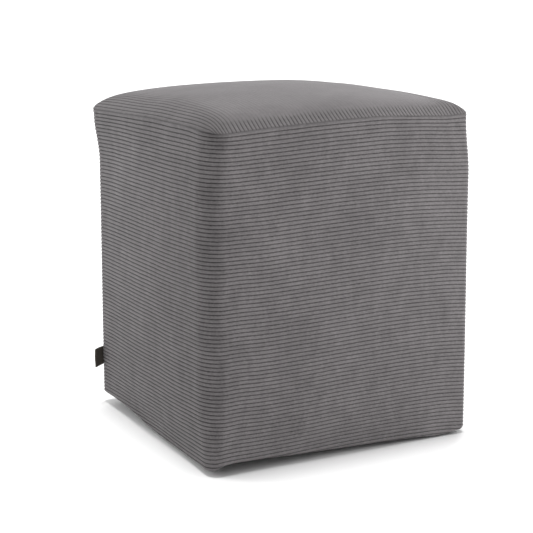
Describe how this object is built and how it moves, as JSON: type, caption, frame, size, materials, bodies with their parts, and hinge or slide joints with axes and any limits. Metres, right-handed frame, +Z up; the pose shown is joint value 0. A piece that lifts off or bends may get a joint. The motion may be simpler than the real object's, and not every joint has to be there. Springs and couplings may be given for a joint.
{
  "type": "cube pouf stool",
  "caption": "Tall cube pouf stool in wide-wale cord, with level ribs round the sides and a crowned top.",
  "frame": {"origin": "centre of the underside, on the floor", "axes": "+Z up, front at -Y, left face at -X"},
  "size_m": [0.4039, 0.3883, 0.4793],
  "materials": {
    "cord": "matt grey wide-wale cord",
    "underside": "plain black non-woven",
    "tag_ribbon": "dark brown woven ribbon"
  },
  "bodies": {
    "root": {"front_left_side": "cord", "back_right_side": "cord", "top_panel": "cord", "base_panel": "underside", "side_tag": "tag_ribbon"}
  },
  "joints": []
}
